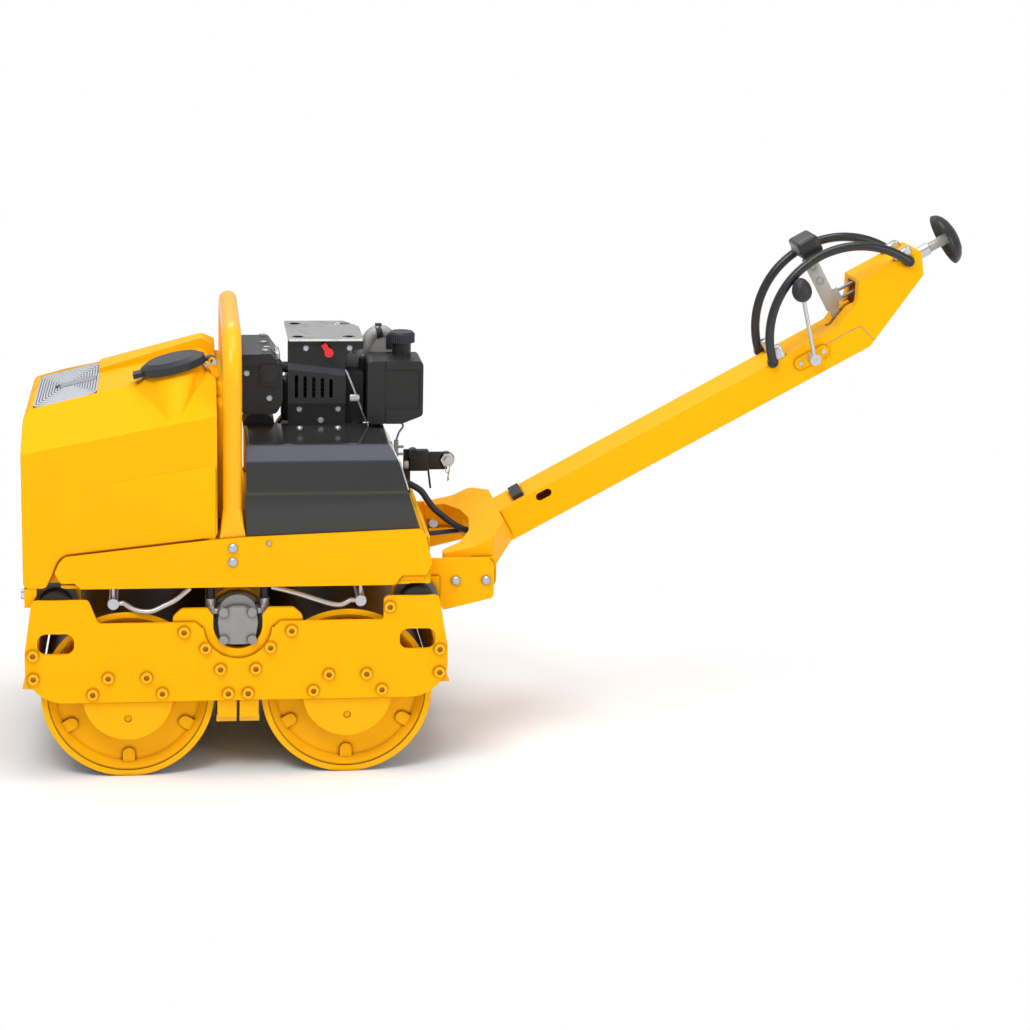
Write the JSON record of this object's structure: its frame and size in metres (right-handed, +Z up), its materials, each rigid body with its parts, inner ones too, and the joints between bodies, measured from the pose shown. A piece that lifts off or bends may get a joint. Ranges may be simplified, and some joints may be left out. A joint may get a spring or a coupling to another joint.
{
  "type": "walk behind vibratory roller",
  "caption": "Walk behind vibratory roller: twin smooth drums, geared drive, sprung upper frame with hood tank and diesel engine, and a folding drawbar with hand controls.",
  "frame": {"origin": "middle of the overall box, on the ground under the drums", "axes": "+X towards the operator, along the drawbar; +Z up; +Y to the operator's right, the gear side"},
  "size_m": [2.2768, 0.724, 1.2846],
  "materials": {
    "side_plate_left": "gloss",
    "side_plate_right": "gloss",
    "side_plate_bolts": "gloss",
    "end_scrapers": "gloss",
    "centre_housing": "gloss",
    "drum_scraper_bars": "worn",
    "axle_hubs": "gloss",
    "bearings": "satin",
    "exciter_shaft": "satin",
    "exciter_motor": "cast",
    "travel_motor": "cast",
    "motor_fittings": "satin",
    "motor_hoses": "matt",
    "gear_cover": "gloss",
    "drive_pinion": "satin",
    "front_idler_gear": "satin",
    "rear_idler_gear": "satin",
    "front_drum_shell": "worn steel",
    "front_drum_discs": "gloss",
    "front_ring_gear": "satin",
    "rear_drum_shell": "worn steel",
    "rear_drum_discs": "gloss",
    "rear_ring_gear": "satin",
    "spray_bars": "satin",
    "spray_pipes": "satin",
    "rubber_buffers": "matt",
    "buffer_plates": "satin",
    "rail_left": "gloss",
    "rail_right": "gloss",
    "upper_frame": "gloss",
    "hitch_cheeks": "gloss",
    "lifting_bow": "gloss",
    "frame_bolts": "satin",
    "water_tank": "gloss",
    "ribbed_panel": "ribbed",
    "water_cap": "satin",
    "engine_cover": "satin",
    "engine_block": "rough",
    "engine_shroud": "satin",
    "engine_top_cover": "polished",
    "air_cleaner": "satin",
    "intake_elbow": "cast",
    "fuel_tank": "satin",
    "fuel_cap": "satin",
    "decompression_lever": "gloss",
    "flywheel": "rough",
    "hydraulic_pump": "rough",
    "hydraulic_tank": "satin",
    "lock_bracket": "satin",
    "lock_pin": "satin",
    "control_hoses": "matt",
    "drawbar_root": "gloss",
    "drawbar_beam": "gloss",
    "drawbar_trim": "satin",
    "drawbar_screws": "satin",
    "hand_hoops": "satin",
    "travel_lever": "satin",
    "lever_grip": "satin",
    "throttle_lever": "satin",
    "stop_button": "satin"
  },
  "bodies": {
    "chassis": {"side_plate_left": "side_plate_left", "side_plate_right": "side_plate_right", "side_plate_bolts": "side_plate_bolts", "end_scrapers": "end_scrapers", "centre_housing": "centre_housing", "drum_scraper_bars": "drum_scraper_bars", "axle_hubs": "axle_hubs", "bearings": "bearings", "exciter_motor": "exciter_motor", "travel_motor": "travel_motor", "motor_fittings": "motor_fittings", "motor_hoses": "motor_hoses", "gear_cover": "gear_cover", "spray_bars": "spray_bars", "spray_pipes": "spray_pipes", "rubber_buffers": "rubber_buffers", "buffer_plates": "buffer_plates", "rail_left": "rail_left", "rail_right": "rail_right", "upper_frame": "upper_frame", "hitch_cheeks": "hitch_cheeks", "lifting_bow": "lifting_bow", "frame_bolts": "frame_bolts", "water_tank": "water_tank", "ribbed_panel": "ribbed_panel", "engine_cover": "engine_cover", "engine_block": "engine_block", "engine_shroud": "engine_shroud", "engine_top_cover": "engine_top_cover", "air_cleaner": "air_cleaner", "intake_elbow": "intake_elbow", "fuel_tank": "fuel_tank", "hydraulic_pump": "hydraulic_pump", "hydraulic_tank": "hydraulic_tank", "lock_bracket": "lock_bracket", "control_hoses": "control_hoses"},
    "front_drum": {"front_drum_shell": "front_drum_shell", "front_drum_discs": "front_drum_discs", "front_ring_gear": "front_ring_gear"},
    "rear_drum": {"rear_drum_shell": "rear_drum_shell", "rear_drum_discs": "rear_drum_discs", "rear_ring_gear": "rear_ring_gear"},
    "pinion": {"drive_pinion": "drive_pinion"},
    "front_idler": {"front_idler_gear": "front_idler_gear"},
    "rear_idler": {"rear_idler_gear": "rear_idler_gear"},
    "exciter": {"exciter_shaft": "exciter_shaft"},
    "crankshaft": {"flywheel": "flywheel"},
    "drawbar": {"drawbar_root": "drawbar_root", "drawbar_beam": "drawbar_beam", "drawbar_trim": "drawbar_trim", "drawbar_screws": "drawbar_screws", "hand_hoops": "hand_hoops"},
    "travel_lever": {"travel_lever": "travel_lever", "lever_grip": "lever_grip"},
    "throttle_lever": {"throttle_lever": "throttle_lever"},
    "stop_button": {"stop_button": "stop_button"},
    "decompression_lever": {"decompression_lever": "decompression_lever"},
    "water_cap": {"water_cap": "water_cap"},
    "fuel_cap": {"fuel_cap": "fuel_cap"},
    "lock_pin": {"lock_pin": "lock_pin"}
  },
  "joints": [
    {"name": "front_drum_spin", "type": "hinge", "parent": "chassis", "child": "front_drum", "pos_m": [-0.89813, 0, 0.2], "axis": [0, 1, 0], "continuous": true},
    {"name": "rear_drum_spin", "type": "hinge", "parent": "chassis", "child": "rear_drum", "pos_m": [-0.38813, 0, 0.2], "axis": [0, 1, 0], "continuous": true},
    {"name": "pinion_spin", "type": "hinge", "parent": "chassis", "child": "pinion", "pos_m": [-0.64313, 0.33, 0.37], "axis": [0, 1, 0], "continuous": true},
    {"name": "front_idler_spin", "type": "hinge", "parent": "chassis", "child": "front_idler", "pos_m": [-0.71701, 0.334, 0.34498], "axis": [0, 1, 0], "continuous": true},
    {"name": "rear_idler_spin", "type": "hinge", "parent": "chassis", "child": "rear_idler", "pos_m": [-0.56925, 0.334, 0.34498], "axis": [0, 1, 0], "continuous": true},
    {"name": "exciter_spin", "type": "hinge", "parent": "chassis", "child": "exciter", "pos_m": [-0.64313, 0, 0.37], "axis": [0, 1, 0], "continuous": true},
    {"name": "crank_spin", "type": "hinge", "parent": "chassis", "child": "crankshaft", "pos_m": [-0.44913, 0, 0.69], "axis": [0, 1, 0], "continuous": true},
    {"name": "drawbar_fold", "type": "hinge", "parent": "chassis", "child": "drawbar", "pos_m": [-0.05713, 0, 0.45], "axis": [0, -1, 0], "range_deg": [0, 62], "deforming": ["control_hoses"]},
    {"name": "travel_lever_swing", "type": "hinge", "parent": "drawbar", "child": "travel_lever", "pos_m": [0.85912, 0, 0.98948], "axis": [0, 1, 0], "range_deg": [-18, 18]},
    {"name": "throttle_lever_swing", "type": "hinge", "parent": "drawbar", "child": "throttle_lever", "pos_m": [0.75911, -0.098, 0.94203], "axis": [0, 1, 0], "range_deg": [0, 30]},
    {"name": "stop_button_press", "type": "slide", "parent": "drawbar", "child": "stop_button", "axis": [-0.8763, 0, -0.4818], "range_m": [0, 0.016], "stiffness_N_per_m": 1200, "springref_m": -0.006},
    {"name": "decompression_swing", "type": "hinge", "parent": "chassis", "child": "decompression_lever", "pos_m": [-0.42113, -0.096, 0.964], "axis": [0, 1, 0], "range_deg": [0, 60]},
    {"name": "water_cap_hinge", "type": "hinge", "parent": "chassis", "child": "water_cap", "pos_m": [-0.69801, -0.176, 0.96441], "axis": [0, 1, 0], "range_deg": [0, 85]},
    {"name": "fuel_cap_turn", "type": "hinge", "parent": "chassis", "child": "fuel_cap", "pos_m": [-0.24213, -0.026, 0.99], "axis": [0, 0, 1], "continuous": true},
    {"name": "lock_pin_slide", "type": "slide", "parent": "chassis", "child": "lock_pin", "axis": [0, -1, 0], "range_m": [0, 0.009]}
  ],
  "couplings": [
    {"joint": "rear_drum_spin", "follows": "front_drum_spin", "ratio": 1},
    {"joint": "front_idler_spin", "follows": "front_drum_spin", "ratio": -4.5238},
    {"joint": "rear_idler_spin", "follows": "front_drum_spin", "ratio": -4.5238},
    {"joint": "pinion_spin", "follows": "front_drum_spin", "ratio": 5.2778}
  ]
}
